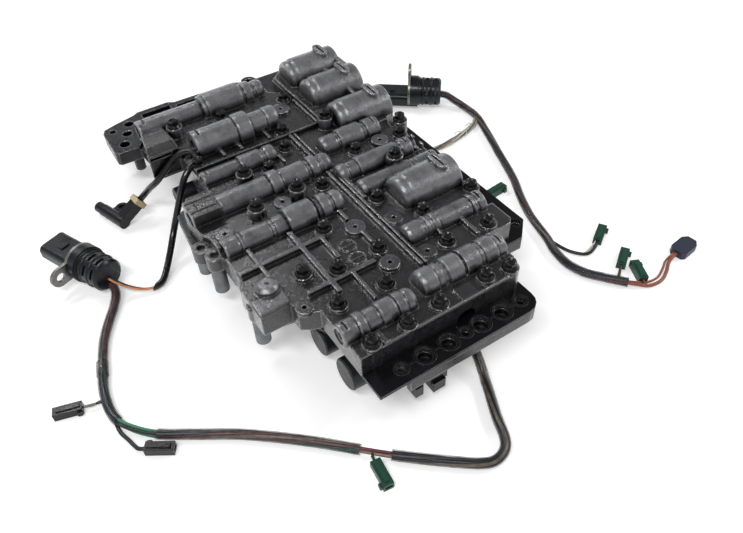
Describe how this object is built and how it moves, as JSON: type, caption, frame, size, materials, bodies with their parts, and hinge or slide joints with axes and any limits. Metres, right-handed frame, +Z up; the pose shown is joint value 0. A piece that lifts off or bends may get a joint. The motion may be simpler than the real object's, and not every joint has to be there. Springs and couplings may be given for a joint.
{
  "type": "transmission valve body",
  "caption": "Hydraulic valve body of an automatic gearbox: two cast halves with stepped spool barrels and accumulators on a lower casting with solenoids, with its wiring looms.",
  "frame": {"origin": "on the resting plane under the middle of the valve body's footprint, looms left out", "axes": "+Z up out of the upper castings, +Y along the length towards the rear rail, +X along the valve bores"},
  "size_m": [0.5222, 0.4944, 0.0855],
  "materials": {
    "casting": "oily as-cast",
    "lower_casting": "oily as-cast",
    "cover": "as-cast",
    "gasket": "gloss",
    "plate": "dark oiled",
    "bolt": "black oxide",
    "spring": "bright",
    "plug": "turned",
    "clip": "stamped",
    "ball": "polished",
    "post": "satin",
    "can": "satin",
    "spool": "hard anodised",
    "piston": "turned",
    "connector": "matte",
    "tab": "satin",
    "seal": "matte",
    "black_plastic": "matte",
    "green_plastic": "matte",
    "blue_plastic": "matte",
    "band": "matte",
    "loom": "translucent tube over wires",
    "branch": "translucent tube over wires",
    "sleeve": "matte",
    "wire": "matte"
  },
  "bodies": {
    "housing": {"left_valve_body": "casting", "right_valve_body": "casting", "upper_gasket": "gasket", "separator_plate": "plate", "lower_gasket": "gasket", "lower_valve_body": "lower_casting", "bottom_cover": "cover", "body_bolts": "bolt", "cover_bolts": "bolt", "spool_springs": "spring", "bore_plugs": "plug", "retainer_clips": "clip", "accumulator_springs": "spring", "accumulator_caps": "plug", "accumulator_keys": "clip", "check_balls": "ball", "standoff_posts": "post", "linear_solenoids": "can", "solenoid_clamps": "clip", "shift_solenoids": "black_plastic", "left_connector": "connector", "right_connector": "connector", "left_bracket": "tab", "right_bracket": "tab", "connector_seals": "seal", "speed_sensor": "black_plastic", "sensor_band": "band", "green_plugs": "green_plastic", "black_plugs": "black_plastic", "blue_plug": "blue_plastic", "left_loom": "loom", "right_loom": "loom", "right_branch": "branch", "sensor_lead": "sleeve", "wire_a": "wire", "wire_b": "wire", "wire_c": "wire", "wire_d": "wire"},
    "spool_a": {"spool_a": "spool"},
    "spool_b": {"spool_b": "spool"},
    "spool_c": {"spool_c": "spool"},
    "spool_d": {"spool_d": "spool"},
    "spool_e": {"spool_e": "spool"},
    "spool_f": {"spool_f": "spool"},
    "spool_g": {"spool_g": "spool"},
    "spool_h": {"spool_h": "spool"},
    "spool_i": {"spool_i": "spool"},
    "spool_j": {"spool_j": "spool"},
    "spool_k": {"spool_k": "spool"},
    "piston_a": {"piston_a": "piston"},
    "piston_b": {"piston_b": "piston"},
    "piston_c": {"piston_c": "piston"},
    "piston_d": {"piston_d": "piston"}
  },
  "joints": [
    {"name": "spool_a_slide", "type": "slide", "parent": "housing", "child": "spool_a", "axis": [-1, 0, 0], "range_m": [0, 0.006], "stiffness_N_per_m": 900, "deforming": ["spool_springs"]},
    {"name": "spool_b_slide", "type": "slide", "parent": "housing", "child": "spool_b", "axis": [-1, 0, 0], "range_m": [0, 0.006], "stiffness_N_per_m": 900, "deforming": ["spool_springs"]},
    {"name": "spool_c_slide", "type": "slide", "parent": "housing", "child": "spool_c", "axis": [-1, 0, 0], "range_m": [0, 0.006], "stiffness_N_per_m": 900, "deforming": ["spool_springs"]},
    {"name": "spool_d_slide", "type": "slide", "parent": "housing", "child": "spool_d", "axis": [-1, 0, 0], "range_m": [0, 0.006], "stiffness_N_per_m": 900, "deforming": ["spool_springs"]},
    {"name": "spool_e_slide", "type": "slide", "parent": "housing", "child": "spool_e", "axis": [-1, 0, 0], "range_m": [0, 0.006], "stiffness_N_per_m": 900, "deforming": ["spool_springs"]},
    {"name": "spool_f_slide", "type": "slide", "parent": "housing", "child": "spool_f", "axis": [-1, 0, 0], "range_m": [0, 0.006], "stiffness_N_per_m": 900, "deforming": ["spool_springs"]},
    {"name": "spool_g_slide", "type": "slide", "parent": "housing", "child": "spool_g", "axis": [1, 0, 0], "range_m": [0, 0.006], "stiffness_N_per_m": 900, "deforming": ["spool_springs"]},
    {"name": "spool_h_slide", "type": "slide", "parent": "housing", "child": "spool_h", "axis": [1, 0, 0], "range_m": [0, 0.006], "stiffness_N_per_m": 900, "deforming": ["spool_springs"]},
    {"name": "spool_i_slide", "type": "slide", "parent": "housing", "child": "spool_i", "axis": [1, 0, 0], "range_m": [0, 0.006], "stiffness_N_per_m": 900, "deforming": ["spool_springs"]},
    {"name": "spool_j_slide", "type": "slide", "parent": "housing", "child": "spool_j", "axis": [1, 0, 0], "range_m": [0, 0.006], "stiffness_N_per_m": 900, "deforming": ["spool_springs"]},
    {"name": "spool_k_slide", "type": "slide", "parent": "housing", "child": "spool_k", "axis": [1, 0, 0], "range_m": [0, 0.006], "stiffness_N_per_m": 900, "deforming": ["spool_springs"]},
    {"name": "piston_a_slide", "type": "slide", "parent": "housing", "child": "piston_a", "axis": [1, 0, 0], "range_m": [0, 0.01], "stiffness_N_per_m": 2500, "deforming": ["accumulator_springs"]},
    {"name": "piston_b_slide", "type": "slide", "parent": "housing", "child": "piston_b", "axis": [1, 0, 0], "range_m": [0, 0.01], "stiffness_N_per_m": 2500, "deforming": ["accumulator_springs"]},
    {"name": "piston_c_slide", "type": "slide", "parent": "housing", "child": "piston_c", "axis": [1, 0, 0], "range_m": [0, 0.01], "stiffness_N_per_m": 2500, "deforming": ["accumulator_springs"]},
    {"name": "piston_d_slide", "type": "slide", "parent": "housing", "child": "piston_d", "axis": [1, 0, 0], "range_m": [0, 0.01], "stiffness_N_per_m": 2500, "deforming": ["accumulator_springs"]}
  ]
}
